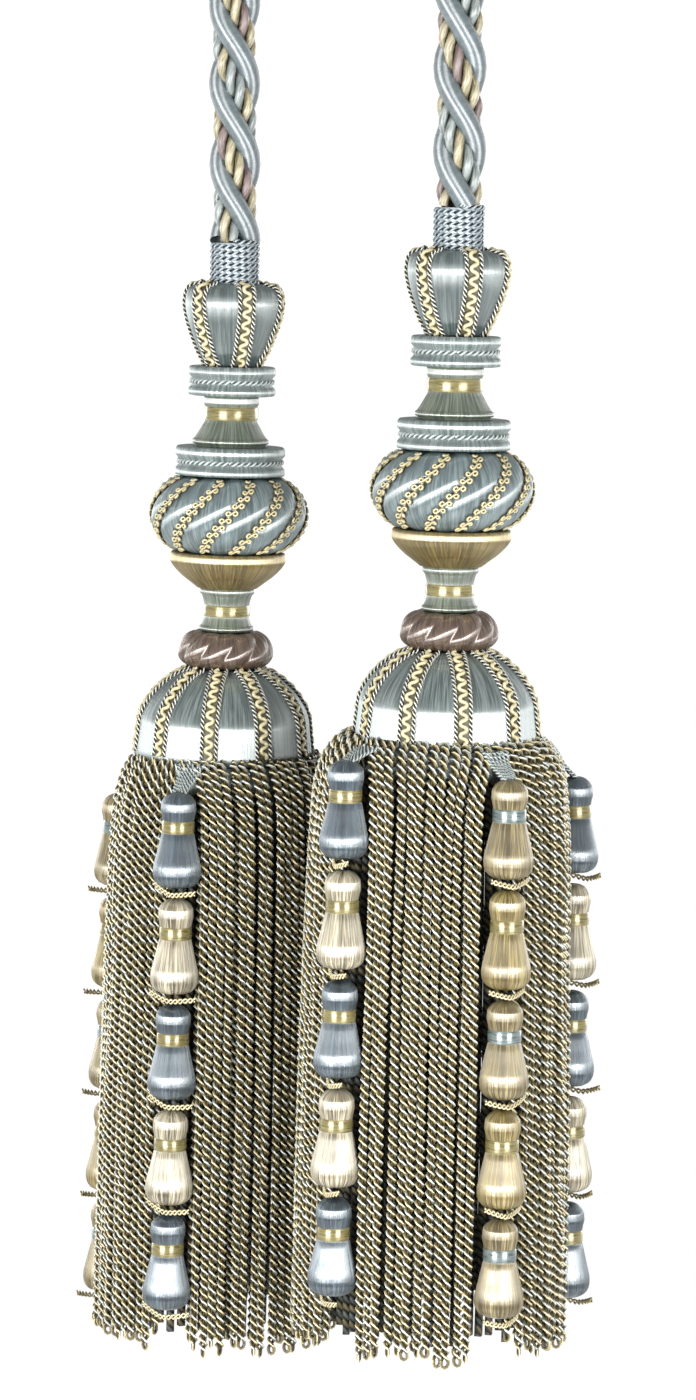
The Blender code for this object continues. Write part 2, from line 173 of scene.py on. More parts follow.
# -------- skirt
DOME_FOOT = -147.0
COLUMN_DEG = 7.2
COLUMNS = 50
HEADING_R = 25.3
# rings: in a turn of a ply; spin: where a ply starts, in degrees; root and the heights: from the dome's foot;
# stations: (radius, height, half angle kept free at each string)
Layer = namedtuple("Layer", "name pitch sides rings root spin stations")
OUTER = Layer("outer", 4.2, 3, 6, 2.0, 90.0, (
    (27.4, 1.3, 2.0), (30.0, -1.0, 4.0), (32.6, -5.6, 7.5), (34.2, -13.0, 10.6), (35.3, -30.0, 12.0),
    (36.0, -60.0, 12.2), (36.7, -100.0, 12.3), (37.2, -163.6, 12.4)))
SECOND = Layer("second", 5.8, 3, 4, -2.0, 135.0, (
    (27.6, -4.0, 5.0), (30.6, -10.0, 8.0), (32.2, -20.0, 9.6), (33.2, -60.0, 10.0), (33.9, -110.0, 10.0),
    (34.2, -161.4, 10.0)))
INNER_STATIONS = ((26.4, -11.0), (28.2, -24.0), (29.2, -60.0), (29.7, -110.0), (29.8, -160.6))
INNER_CORDS = 56
INNER_R = 1.3
INNER_ROOT = -8.0
INNER_STEP = 6.0
HEADING = ((24.2, -147.3), (24.6, -148.0), (24.6, -154.2), (24.2, -155.2))
HEADING_SIDES = 64
OUT_OF_PLACE = 0.25  # of a cord, in pitches
INNER_OUT_OF_PLACE = 0.3
ASTRAY = (0.2, 1.0)  # how much of it a cord has at its root and at its foot
ASTRAY_BY = 0.45  # in millimetres outwards and in degrees round
PITCH_VARIES = (0.95, 1.07)
FOOT_VARIES = (-2.0, 1.6)
INNER_FOOT_VARIES = (-3.0, 1.0)
PLY_PITCH = 4.7
PLY_CENTRE_R = 0.82
PLY_R = 0.56
# a thin dark brown strand along each outer bullion cord's axis: painted shade in the eyes between its two
# plies
EYE_SHADE_R = 0.42
EYE_SHADE_EVERY = 8  # rings of a ply for one of the core
LOOP_DROP = 2.0
LOOP_POINTS = 7
LOOP_SWELL = 0.5
SEED = 11

# -------- strings of small tassels
STRING_PITCH = 30.1
STRING_TOP_R = 38.0
STRING_LOW_R = 39.3
STRING_REACH = 170.0
# (half width, distance under the crown)
SMALL_TASSEL = (
    (0.9, 0.1), (2.0, 0.25), (3.1, 0.75), (4.1, 1.6), (4.7, 2.5), (4.84, 3.1), (4.93, 4.1), (5.0, 5.0),
    (4.9, 5.7), (4.65, 6.7), (4.5, 7.7), (4.3, 8.2), (4.3, 11.2), (4.6, 11.9), (5.0, 13.6), (5.45, 15.6),
    (5.95, 17.8), (6.4, 19.6), (6.7, 21.0), (6.8, 22.2), (6.75, 23.3), (6.6, 24.2), (6.2, 25.1), (5.4, 26.0),
    (4.1, 26.7), (2.4, 27.0))
SMALL_BAND = ((4.4, 7.9), (4.62, 8.2), (4.62, 11.1), (4.45, 11.5))
SMALL_SIDES = 24
SMALL_BAND_SIDES = 20
TIE_BELOW = 27.9
TIE_HALF = 7.4
TIE_R = 0.33
TIE_WAVE = 2.7
TIE_TURN = 45.0  # how far the ties at the sides turn outwards, in degrees
TIE_POINTS = 61
TIE_LONGER = (0.96, 1.2)
TIE_ASIDE = 0.4
TIE_LIFTS = ((1.6, 2.8), (0.9, 1.8))  # how far its two ends rise, each between two values
TIE_CURVE = 1.2
TIE_DROP = 1.0
TIE_BOW = 2.4
TIE_OUT = 0.9
TIE_CROSS = (0.24, 0.55)  # outwards and upwards, of its strands
HANGER_ROOT = (25.3, -0.8)
# where the hangers lie on the fringe: (radius, height from the dome's foot)
SHOULDER = ((29.4, 0.4), (32.2, -2.6), (34.6, -6.4), (36.4, -11.5))
HANGER_R = 0.4
HANGER_SPREAD = (-4.6, -2.75, -0.9, 0.9, 2.75, 4.6)  # at the top; they meet over the crown
HANGER_MEET = 0.35
HANGER_STEP = 0.6
HANGER_PITCH = 2.6
HANGER_END = 0.4  # under the first crown
SHOULDER_CLEAR = 2.0  # a hanger leaves the fringe this far above the first crown
# the small tassels of each kind of string from top to foot, their ribbons, and the kind of each string
KINDS = {"A": ("blue_floss", "beige_floss", "blue_floss", "beige_floss", "blue_floss"),
         "B": ("tan_floss", "gold_floss", "tan_floss", "gold_floss", "tan_floss")}
BANDS = {"blue_floss": "gold_ribbon", "beige_floss": "gold_ribbon",
         "tan_floss": "silver_ribbon", "gold_floss": "gold_ribbon"}
STRING_KINDS = {"right": "ABAAB", "left": "BABAB"}


# -------- materials
def linear(code):
    """The linear colour of an sRGB code such as 8b9aa0."""
    channels = [int(code[i:i + 2], 16) / 255 for i in (0, 2, 4)]
    return (*(c / 12.92 if c <= 0.04045 else ((c + 0.055) / 1.055) ** 2.4 for c in channels), 1.0)


class Nodes:
    """A material and a short way to add nodes to it."""

    def __init__(self, name):
        self.material = bpy.data.materials.new(name)
        self.material.use_nodes = True
        self.tree = self.material.node_tree
        self.shader = self.tree.nodes["Principled BSDF"]

    def add(self, kind, **values):
        node = self.tree.nodes.new(kind)
        for key, value in values.items():
            setattr(node, key, value)
        return node

    def link(self, source, target):
        self.tree.links.new(source, target)

    def attribute(self, name):
        return self.add("ShaderNodeAttribute", attribute_name=name)

    def scaled(self, vector, scale):
        node = self.add("ShaderNodeVectorMath", operation="MULTIPLY")
        self.link(vector, node.inputs[0])
        node.inputs[1].default_value = scale
        return node.outputs["Vector"]

    def noise(self, vector, scale, detail=2.0):
        node = self.add("ShaderNodeTexNoise")
        node.inputs["Scale"].default_value = scale
        node.inputs["Detail"].default_value = detail
        self.link(vector, node.inputs["Vector"])
        return node.outputs["Fac"]

    def mapped(self, value, low, high, to_low, to_high):
        node = self.add("ShaderNodeMapRange")
        self.link(value, node.inputs["Value"])
        for socket, number in zip(("From Min", "From Max", "To Min", "To Max"), (low, high, to_low, to_high)):
            node.inputs[socket].default_value = number
        return node.outputs["Result"]

    def ramp(self, value, stops):
        node = self.add("ShaderNodeValToRGB")
        self.link(value, node.inputs["Fac"])
        ramp = node.color_ramp
        while len(ramp.elements) < len(stops):
            ramp.elements.new(0.5)
        for element, (place, code) in zip(ramp.elements, stops):
            element.position = place
            element.color = linear(code)
        return node.outputs["Color"]

    def math(self, operation, first, second):
        node = self.add("ShaderNodeMath", operation=operation)
        for socket, value in zip(node.inputs, (first, second)):
            if isinstance(value, (int, float)):
                socket.default_value = value
            else:
                self.link(value, socket)
        return node.outputs["Value"]

    def run_along(self, uv_map):
        """Stretches the highlight along U."""
        tangent = self.add("ShaderNodeTangent", direction_type="UV_MAP", uv_map=uv_map)
        self.link(tangent.outputs["Tangent"], self.shader.inputs["Tangent"])

    def bump(self, height, distance_mm, strength=1.0):
        node = self.add("ShaderNodeBump")
        node.inputs["Distance"].default_value = distance_mm * MM
        node.inputs["Strength"].default_value = strength
        self.link(height, node.inputs["Height"])
        self.link(node.outputs["Normal"], self.shader.inputs["Normal"])


def floss(name, dark, middle, light, shine=0.42, ior=2.8, tint=None, stretch=(1.0, 1.0, 0.05), uneven=0.1,
          relief=0.03):
    """Silky floss wound side by side: streaks along each thread, and a highlight that runs across them."""
    nodes = Nodes(name)
    fibre = nodes.attribute("fibre").outputs["Vector"]
    streaks = nodes.noise(nodes.scaled(fibre, stretch), 2.3, 2.0)
    strands = nodes.noise(nodes.scaled(fibre, stretch), 0.8, 1.0)
    blend = nodes.math("MULTIPLY_ADD", streaks, 0.7)
    nodes.link(nodes.math("MULTIPLY", strands, 0.3), blend.node.inputs[2])
    colour = nodes.ramp(blend, ((0.4, dark), (0.5, middle), (0.6, light)))
    shader = nodes.shader
    nodes.link(colour, shader.inputs["Base Color"])
    nodes.link(nodes.mapped(streaks, 0.35, 0.65, shine + uneven, shine - uneven), shader.inputs["Roughness"])
    shader.inputs["Anisotropic"].default_value = 1.0
    shader.inputs["IOR"].default_value = ior
    if tint:
        shader.inputs["Specular Tint"].default_value = tint
    nodes.run_along("UVMap")
    if relief:
        nodes.bump(streaks, relief)
    return nodes.material


def yarn(name, gap, dark, light, roughness=0.5, specular=0.5, stops=(0.32, 0.6, 0.8), lines=0.3):
    """A twisted cord's yarn: fine filaments, painted light on its crest and painted shade in the furrows."""
    nodes = Nodes(name)
    fibre = nodes.attribute("fibre").outputs["Vector"]
    filaments = nodes.noise(nodes.scaled(fibre, (1.0, 1.0, 0.2)), 2.2, 2.0)
    # its colour is painted from crest: gap as painted shade in the furrows, light as a painted highlight on
    # the crest
    crest = nodes.attribute("crest").outputs["Fac"]
    fine = nodes.math("MULTIPLY", filaments, lines)
    value = nodes.math("ADD", fine, nodes.math("MULTIPLY", crest, 1.0 - lines))
    colour = nodes.ramp(value, tuple(zip(stops, (gap, dark, light))))
    nodes.link(colour, nodes.shader.inputs["Base Color"])
    nodes.link(nodes.mapped(filaments, 0.3, 0.7, roughness - 0.08, roughness + 0.1),
               nodes.shader.inputs["Roughness"])
    nodes.shader.inputs["Specular IOR Level"].default_value = specular
    nodes.bump(filaments, 0.06)
    return nodes.material


def ribbon(name, dark, light):
    """A metallic ribbon wound round the piece, its faint ribs running round too."""
    nodes = Nodes(name)
    fibre = nodes.attribute("fibre").outputs["Vector"]
    ribs = nodes.noise(nodes.scaled(fibre, (0.12, 0.12, 1.0)), 2.2, 1.0)
    nodes.link(nodes.ramp(ribs, ((0.35, dark), (0.65, light))), nodes.shader.inputs["Base Color"])
    nodes.link(nodes.mapped(ribs, 0.3, 0.7, 0.26, 0.36), nodes.shader.inputs["Roughness"])
    nodes.shader.inputs["Metallic"].default_value = 0.35
    nodes.shader.inputs["Anisotropic"].default_value = 0.85
    nodes.run_along("UVMap")
    nodes.shader.inputs["IOR"].default_value = 2.0
    nodes.bump(ribs, 0.02)
    return nodes.material


def twisted_look(name, first, second, gap):
    """A plain cord whose two plies show as slanting stripes with painted shade in the furrow between them."""
    nodes = Nodes(name)
    uv = nodes.add("ShaderNodeUVMap", uv_map="UVMap").outputs["UV"]
    parts = nodes.add("ShaderNodeSeparateXYZ")
    nodes.link(uv, parts.inputs["Vector"])
    turns = nodes.math("ADD", nodes.math("MULTIPLY", parts.outputs["X"], 2.0),
                       nodes.math("MULTIPLY", parts.outputs["Y"], 2.0 / PLY_PITCH))
    place = nodes.math("FRACT", turns, 0.0)
    height = nodes.math("SINE", nodes.math("MULTIPLY", place, math.pi), 0.0)
    which = nodes.math("FRACT", nodes.math("MULTIPLY", turns, 0.5), 0.0)
    mix = nodes.add("ShaderNodeMix", data_type="RGBA")
    nodes.link(nodes.math("GREATER_THAN", which, 0.5), mix.inputs["Factor"])
    mix.inputs[6].default_value = linear(first)
    mix.inputs[7].default_value = linear(second)
    # the gap colour is painted shade, strongest down in the furrow between the plies
    shade = nodes.add("ShaderNodeMix", data_type="RGBA")
    nodes.link(nodes.mapped(height, 0.25, 0.75, 0.0, 1.0), shade.inputs["Factor"])
    shade.inputs[6].default_value = linear(gap)
    nodes.link(mix.outputs[2], shade.inputs[7])
    nodes.link(shade.outputs[2], nodes.shader.inputs["Base Color"])
    nodes.shader.inputs["Roughness"].default_value = 0.6
    nodes.bump(height, 0.6)
    return nodes.material


def pale_stage(name):
    """The white of a light tent, which glows most on the far side."""
    nodes = Nodes(name)
    grain = nodes.noise(nodes.add("ShaderNodeTexCoord").outputs["Object"], 6.0, 2.0)
    nodes.link(nodes.ramp(grain, ((0.0, "b9b9b9"), (1.0, "c4c4c4"))), nodes.shader.inputs["Base Color"])
    nodes.shader.inputs["Roughness"].default_value = 0.95
    nodes.shader.inputs["Specular IOR Level"].default_value = 0.1
    parts = nodes.add("ShaderNodeSeparateXYZ")
    nodes.link(nodes.add("ShaderNodeTexCoord").outputs["Object"], parts.inputs["Vector"])
    glow = nodes.mapped(parts.outputs["Y"], *STAGE_GLOW_ALONG, STAGE_GLOW_FRONT, STAGE_GLOW_BACK)
    nodes.link(glow, nodes.shader.inputs["Emission Strength"])
    nodes.shader.inputs["Emission Color"].default_value = (1.0, 1.0, 1.0, 1.0)
    return nodes.material


CREAM = (1.0, 0.93, 0.76, 1.0)  # tints of a highlight
STRAW = (1.0, 0.9, 0.62, 1.0)
ROSE = (1.0, 0.9, 0.85, 1.0)
IVORY = (1.0, 0.96, 0.86, 1.0)
ICE = (0.88, 0.96, 1.0, 1.0)
MIST = (0.94, 1.0, 0.98, 1.0)
# where a yarn's colour turns from painted furrow shade to its middle colour and on to a painted crest
# highlight
CRISP = (0.42, 0.6, 0.78)  # where a yarn turns from its gap to its middle and light colours
FINE = (0.3, 0.5, 0.8)
THIN = (0.3, 0.62, 0.86)
ACROSS = (0.25, 0.25, 1.0)  # threads that run round a ply
# the function that makes each material, its name and what the function is given
LOOKS = (
    (floss, "slate_satin", "37403f", "4e5958", "6a7472", 0.42, 2.8, MIST),
    # the next two rows: the dome's slate floss again, lighter for the discs as painted light and darker for
    # the bulb as painted shade
    (floss, "disc_satin", "414b4a", "5a6564", "7a8482", 0.42, 2.8, MIST),
    (floss, "bulb_satin", "2f3837", "414c4c", "596363", 0.42, 2.8, MIST),
    (floss, "bun_satin", "414b4d", "566366", "6f7b7c", 0.4, 2.5, MIST),
    (floss, "sage_satin", "363f34", "4d5748", "676f5f"),
    (floss, "gold_satin", "2e240d", "483a18", "6a592d", 0.42, 3.0, STRAW),
    (floss, "mauve_satin", "35281f", "44362c", "54463b", 0.36, 2.3, ROSE),
    (floss, "rope_satin", "4c575a", "566266", "606c70", 0.46, 2.8, None, ACROSS, 0.0, 0.0),
    (floss, "blue_floss", "151c21", "2a343b", "4a5660", 0.34, 2.5, ICE),
    (floss, "beige_floss", "453e2f", "8a826d", "c2baa3", 0.34, 2.5, IVORY),
    (floss, "tan_floss", "3b3320", "64593e", "938764", 0.34, 2.2, CREAM),
    (floss, "gold_floss", "423719", "6d5f38", "9a8c60", 0.34, 2.2, CREAM),
    # yarn rows: the gap colour is painted shade in the furrows and the light colour a painted highlight on
    # the crest
    (yarn, "gold_yarn", "231c0e", "6f674b", "b5ad94", 0.4, 0.7, FINE, 0.6),
    (yarn, "silver_yarn", "1c2122", "5d6562", "989e9c", 0.38, 0.8, FINE, 0.6),
    (yarn, "mauve_yarn", "1e1615", "584a47", "877874", 0.45, 0.6, FINE, 0.6),
    (yarn, "whipping", "050708", "4f5b62", "a6b1b6", 0.42, 0.8, CRISP),
    (yarn, "trim_gold", "3a3318", "8f845b", "c6bc9a", 0.45, 0.7),
    (yarn, "tie_gold", "7d7250", "a3976f", "cfc5a3", 0.45, 0.7),
    (yarn, "waist_cord", "4a5353", "78827f", "b9c1bf", 0.42, 0.8),
    (yarn, "trim_pale", "060706", "74766c", "dddccf", 0.42, 0.8, CRISP),
    # the tape under each trim: its dark olive is painted shade between the gimp and the side cords
    (yarn, "trim_tape", "4b4a39", "63624f", "7d7d6b", 0.6),
    (yarn, "bullion_gold", "3a3016", "675c34", "efe3bd", 0.45, 0.7, THIN),
    (yarn, "bullion_blue", "2f2b18", "6d6c55", "e6ebe8", 0.42, 0.8, THIN),
    # the strand along each bullion cord's axis: dark browns as painted shade in the eyes between the plies
    (yarn, "bullion_core", "2e2511", "453819", "5d4e2b", 0.6),
    # the inner cords: two ply colours, and a near-black gap that is painted shade in their furrows
    (twisted_look, "inner_cord", "574f35", "444944", "080705"),
    (ribbon, "gold_ribbon", "6f653c", "8f865a"),
    (ribbon, "silver_ribbon", "566261", "7f8b8a"),
    (pale_stage, "pale_floor"),
)


def make_materials():
    return {name: make(name, *values) for make, name, *values in LOOKS}


# -------- lines and rings of points
def unit(vectors):
    return vectors / np.linalg.norm(vectors, axis=-1, keepdims=True)


def walked(points):
    """How far along its line each point is."""
    strides = np.linalg.norm(np.diff(points, axis=0), axis=-1)
    return np.concatenate(([0.0], np.cumsum(strides)))


CURVE_POINTS = 24  # of the fine line between two given points


def smooth(points, step):
    """Points every step along a Catmull-Rom curve through the given ones."""
    points = np.asarray(points, dtype=float)
    padded = np.vstack((2 * points[0] - points[1], points, 2 * points[-1] - points[-2]))
    t = np.arange(CURVE_POINTS)[:, None] / CURVE_POINTS
    fine = [0.5 * (2 * b + (c - a) * t + (2 * a - 5 * b + 4 * c - d) * t ** 2
                   + (3 * b - a - 3 * c + d) * t ** 3)
            for a, b, c, d in zip(padded, padded[1:], padded[2:], padded[3:])]
    fine = np.vstack((*fine, points[-1:]))
    length = walked(fine)
    count = max(2, round(length[-1] / step) + 1)
    even = np.linspace(0.0, length[-1], count)
    return np.stack([np.interp(even, length, fine[:, i]) for i in range(fine.shape[1])], axis=-1)


def polar(radius, azimuth, height):
    angle = np.radians(azimuth)
    return np.stack(np.broadcast_arrays(radius * np.sin(angle), -radius * np.cos(angle), height), axis=-1)


def outward_at(azimuth, count=None):
    """The level direction away from the tassel's axis."""
    direction = polar(1.0, azimuth, 0.0)
    return direction if count is None else np.broadcast_to(direction, (count, 3))


def frame_along(path, outward):
    """Directions across a line: outward, squared up to the line, and to the side of it."""
    tangent = unit(np.gradient(path, axis=0))
    out = outward - np.sum(outward * tangent, axis=-1, keepdims=True) * tangent
    out = unit(out)
    return out, np.cross(tangent, out)


def coiled(path, outward, radius, pitch, start, right_handed):
    """A line that winds about another, with the direction away from that other line at each point."""
    out, side = frame_along(path, outward)
    sign = 1.0 if right_handed else -1.0
    angle = np.radians(start) + sign * 2 * math.pi * walked(path) / pitch
    away = np.cos(angle)[:, None] * out + np.sin(angle)[:, None] * side
    return path + np.asarray(radius) * away, away


def tube(path, outward, radius, sides):
    """Rings round a line, counter-clockwise seen from its far end."""
    out, side = frame_along(path, outward)
    angle = 2 * math.pi * np.arange(sides) / sides
    reach = np.broadcast_to(np.asarray(radius, dtype=float), (len(path),))[:, None, None]
    spokes = np.cos(angle)[None, :, None] * out[:, None] + np.sin(angle)[None, :, None] * side[:, None]
    return path[:, None] + reach * spokes


def turned(profile, sides, step=None):
    """Rings of a turned form, from its foot to its top."""
    line = (smooth(profile, step) if step else np.array(profile, dtype=float))[::-1]
    azimuth = 360.0 * np.arange(sides) / sides
    return polar(line[:, 0, None], azimuth[None, :], line[:, 1, None])


def down_mould(profile, azimuth, step=0.5):
    """A line down a turned form at one azimuth, with the direction away from the form."""
    line = smooth(profile, step)
    slope = np.gradient(line, axis=0)
    normal = unit(np.stack((-slope[:, 1], slope[:, 0]), axis=-1))
    return polar(line[:, 0], azimuth, line[:, 1]), polar(normal[:, 0], azimuth, normal[:, 1])


def wander(path, outward, along, sideways, above):
    """Points beside and above a line, at the given distances along it, with the direction away from it."""
    out, side = frame_along(path, outward)
    place = walked(path)

    def at(rows):
        return np.stack([np.interp(along, place, column) for column in rows.T], axis=-1)

    away = unit(at(out))
    aside = unit(at(side))
    points = at(path) + sideways[:, None] * aside + above[:, None] * away
    return points, away


# -------- meshes
SHUFFLE_BY = 37.0


class Skin:
    """Gathers rings of points into one mesh with its finishes, its UV map and the run of its fibres.

    fibre holds, in millimetres, where a point is round its ring (x, y) and along the rings (z), moved on by
    a share of SHUFFLE_BY, so that two cords differ. crest is 1 on the side of a cord that faces away and 0
    on the other. The UV map runs round each ring in U, or along the rings where threads are wound across.
    """

    def __init__(self, finishes):
        self.finishes = list(finishes)
        self.points = []
        self.fibre = []
        self.crest = []
        self.corners = []
        self.sizes = []
        self.finish = []
        self.uv = []
        self.total = 0

    def add(self, rings, finish, shuffle=0.5, caps=False, along_u=False, fibre_r=None, upright=False):
        count, sides = rings.shape[:2]
        centres = rings.mean(axis=1)
        reach = fibre_r or float(np.linalg.norm(rings - centres[:, None], axis=-1).max())
        strides = np.linalg.norm(np.diff(rings, axis=0), axis=-1).mean(axis=1)
        along = np.concatenate(([0.0], np.cumsum(strides)))
        angle = 2 * math.pi * np.arange(sides) / sides
        fibre = np.empty((count, sides, 3))
        fibre[..., 0] = reach * np.cos(angle)
        fibre[..., 1] = reach * np.sin(angle)
        fibre[..., 2] = along[:, None] + SHUFFLE_BY * shuffle
        if upright:
            level = rings[..., :2] / np.linalg.norm(rings[..., :2], axis=-1, keepdims=True)
            fibre[..., :2] = reach * level
        index = self.total + np.arange(count * sides).reshape(count, sides)
        after = np.roll(index, -1, axis=1)
        quads = np.stack((index[:-1], after[:-1], after[1:], index[1:]), axis=-1).reshape(-1, 4)
        u = np.arange(sides) / sides
        u_low, v_low = np.meshgrid(u, along[:-1])
        u_high, v_high = np.meshgrid(u + 1 / sides, along[1:])
        uv = np.stack((np.stack((u_low, v_low), -1), np.stack((u_high, v_low), -1),
                       np.stack((u_high, v_high), -1), np.stack((u_low, v_high), -1)), axis=-2)
        self.points.append(rings.reshape(-1, 3))
        self.fibre.append(fibre.reshape(-1, 3))
        self.crest.append(np.broadcast_to(0.5 + 0.5 * np.cos(angle), (count, sides)).ravel())
        self.corners.append(quads.ravel())
        self.sizes.append(np.full(len(quads), 4))
        self.uv.append((uv[..., ::-1] if along_u else uv).reshape(-1, 2))
        faces = len(quads)
        if caps:
            for ring, spot in ((index[0][::-1], 0.0), (index[-1], along[-1])):
                self.corners.append(ring)
                self.sizes.append(np.array([sides]))
                self.uv.append(np.stack((u, np.full(sides, spot)), -1))
                faces += 1
        self.finish.append(np.full(faces, self.finishes.index(finish)))
        self.total += count * sides

    def make(self, name, tassel=None, shift=0.0):
        points = np.vstack(self.points)
        if tassel:
            points = hung(points, tassel, shift)
        corners = np.concatenate(self.corners)
        sizes = np.concatenate(self.sizes)
        mesh = bpy.data.meshes.new(name)
        mesh.vertices.add(len(points))
        mesh.vertices.foreach_set("co", (points * MM).ravel())
        mesh.loops.add(len(corners))
        mesh.loops.foreach_set("vertex_index", corners)
        mesh.polygons.add(len(sizes))
        mesh.polygons.foreach_set("loop_start", np.concatenate(([0], np.cumsum(sizes)[:-1])))
        mesh.polygons.foreach_set("material_index", np.concatenate(self.finish))
        mesh.polygons.foreach_set("use_smooth", np.ones(len(sizes), dtype=bool))
        mesh.update(calc_edges=True)
        mesh.uv_layers.new(name="UVMap").data.foreach_set("uv", np.vstack(self.uv).ravel())
        mesh.attributes.new("fibre", "FLOAT_VECTOR", "POINT").data.foreach_set(
            "vector", np.vstack(self.fibre).ravel())
        mesh.attributes.new("crest", "FLOAT", "POINT").data.foreach_set("value", np.concatenate(self.crest))
        for finish in self.finishes:
            mesh.materials.append(MATERIALS[finish])
        piece = bpy.data.objects.new(name, mesh)
        bpy.context.scene.collection.objects.link(piece)
        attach(piece, "root")
        return piece


def hung(points, tassel, shift=0.0):
    """Points of a tassel's own axis in the frame of the whole tieback."""
    lean = math.radians(tassel.lean)
    x = points[..., 0] + shift
    z = points[..., 2]
    return np.stack((tassel.x + x * math.cos(lean) + z * math.sin(lean), tassel.y + points[..., 1],
                     tassel.z - x * math.sin(lean) + z * math.cos(lean)), axis=-1)


# -------- rope
def rope_line(step):
    right, left = (np.array((t.x, t.y, 0.0)) for t in TASSELS)
    middle = (right + left) / 2
    towards_left = unit(left - right)
    points = [middle + towards_left * along + np.array((0.0, 0.0, up)) for along, up in ROPE_ROUTE]
    return smooth(points, step)


def make_rope():
    """Two satin plies and two plies of three small yarns, laid together in an S."""
    centres = rope_line(ROPE_STEP)
    normal = unit(np.cross(centres[-1] - centres[0], (0.0, 0.0, 1.0)))
    outward = np.broadcast_to(normal, centres.shape)
    skin = Skin(("rope_satin", "gold_yarn", "silver_yarn", "mauve_yarn"))
    for ply in (0, 2):
        path, away = coiled(centres, outward, SATIN_CENTRE_R, ROPE_LAY, ROPE_PHASE + 90 * ply, False)
        skin.add(tube(path, away, SATIN_R, SATIN_SIDES), "rope_satin", 0.5, along_u=True)
    mixed = {1: ("gold_yarn", "gold_yarn", "mauve_yarn"), 3: ("silver_yarn", "silver_yarn", "gold_yarn")}
    for ply, yarns in mixed.items():
        axis, away = coiled(centres, outward, MIXED_CENTRE_R, ROPE_LAY, ROPE_PHASE + 90 * ply, False)
        for k, finish in enumerate(yarns):
            path, spoke = coiled(axis, away, YARN_CENTRE_R, YARN_PITCH, 120 * k, True)
            skin.add(tube(path, spoke, YARN_R, YARN_SIDES), finish, 0.3 * k)
    rope = skin.make("rope_laid")
    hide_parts("rope")
    line = rope_line(CORD_STEP) * MM
    float(walked(line)[-1])


# -------- cords that are laid on the moulds
def two_ply(skin, path, outward, radius, pitch, finish, sides=4):
    """Two yarns twisted together along a line."""
    for start in (0, 180):
        line, away = coiled(path, outward, radius * PLY_NEST, pitch, start, False)
        skin.add(tube(line, away, radius, sides), finish)


def tape(path, outward, half_width, thickness):
    """Rings of a flat tape laid along a line."""
    out, side = frame_along(path, outward)
    corners = ((0.0, -1.0), (1.0, -0.9), (1.0, 0.9), (0.0, 1.0))
    rings = [path + up * thickness * out + aside * half_width * side for up, aside in corners]
    return np.stack(rings, axis=1)


def add_trim(skin, profile, azimuth):
    """A gold wavy gimp between two twisted cords, sewn on down a mould."""
    path, out = down_mould(profile, azimuth)
    length = walked(path)[-1]
    # an olive tape under the trim; its dark colour is painted shade between the gimp and the side cords
    skin.add(tape(path[::3], out[::3], TRIM_SPACING, TRIM_TAPE_THICK), "trim_tape", 0.3)
    along = np.arange(0.0, length, TRIM_CORD_PITCH / TRIM_CORD_POINTS)
    for aside in (-TRIM_SPACING, TRIM_SPACING):
        line, away = wander(path, out, along, np.full(len(along), aside), np.full(len(along), TRIM_CORD_R))
        two_ply(skin, line, away, TRIM_CORD_R, TRIM_CORD_PITCH, "trim_pale", 3)
    turn = np.arange(0.0, 2 * math.pi * (length - GIMP_SHORT) / GIMP_WAVE, GIMP_TURN)
    along = GIMP_WAVE * turn / (2 * math.pi) - GIMP_BEND * np.sin(2 * turn) + GIMP_START
    lift, swing = GIMP_LIFT
    above = GIMP_R * (lift + swing * np.cos(turn))
    line, away = wander(path, out, along, GIMP_AMPLITUDE * np.sin(turn), above)
    skin.add(tube(line, away, GIMP_R, 5), "trim_gold", 0.7)


def add_braid(skin, path, out, finish):
    """One cord that winds forward in round loops, turn about to the left and the right."""
    length = walked(path)[-1]
    turn = np.arange(0.0, 2 * math.pi * (length - BRAID_SHORT) / BRAID_WAVE, BRAID_TURN)
    along = BRAID_START + BRAID_WAVE * turn / (2 * math.pi) + BRAID_LOOP * np.sin(2 * turn)
    along = np.clip(along, 0.0, length)
    lift, over, beside = BRAID_LIFT
    above = lift + over * np.cos(turn) + beside * np.sin(turn) ** 2
    sideways = BRAID_REACH * (np.sin(turn) - BRAID_SQUARE * np.sin(3 * turn))
    line, away = wander(path, out, along, sideways, above)
    skin.add(tube(line, away, BRAID_R, 4), finish, 0.5)


# -------- lobed rings
def lobed_surface(form, tilt, across):
    """Points of a ring-shaped pad. across: lobes from the first valley; tilt: angle above the widest."""
    half = np.where(tilt > 0.0, form.top - form.widest, form.widest - form.bottom)
    height = half * np.sin(tilt) / math.sin(math.pi / 2 * LOBED_STRETCH)
    share = across - np.floor(across)
    sunk = form.valley * (1.0 - np.sin(math.pi * share) ** VALLEY_SHARP)
    radius = form.centre_r + (form.tube_r - sunk) * np.cos(tilt)
    azimuth = form.first_valley + form.swirl * height + across * 360.0 / form.lobes
    return polar(radius, azimuth, form.widest + height * (1 - VALLEY_LEVEL * sunk / form.tube_r))


def lobed_rings(form, rings, points):
    tilt = np.linspace(-1.0, 1.0, rings) * math.pi / 2 * LOBED_STRETCH
    across = np.arange(form.lobes * points) / points
    return lobed_surface(form, tilt[:, None], across[None, :])


def valley_line(form, lobe, count, above=0.0, reach=0.97):
    """The line of a valley from top to foot, with the direction away from the pad."""
    tilt = np.linspace(1.0, -1.0, count) * math.pi / 2 * LOBED_STRETCH * reach
    raised = form._replace(tube_r=form.tube_r + above)
    line = lobed_surface(raised, tilt, np.full(count, float(lobe)))
    azimuth = np.degrees(np.arctan2(line[:, 0], -line[:, 1]))
    return line, polar(np.cos(tilt), azimuth, np.sin(tilt))


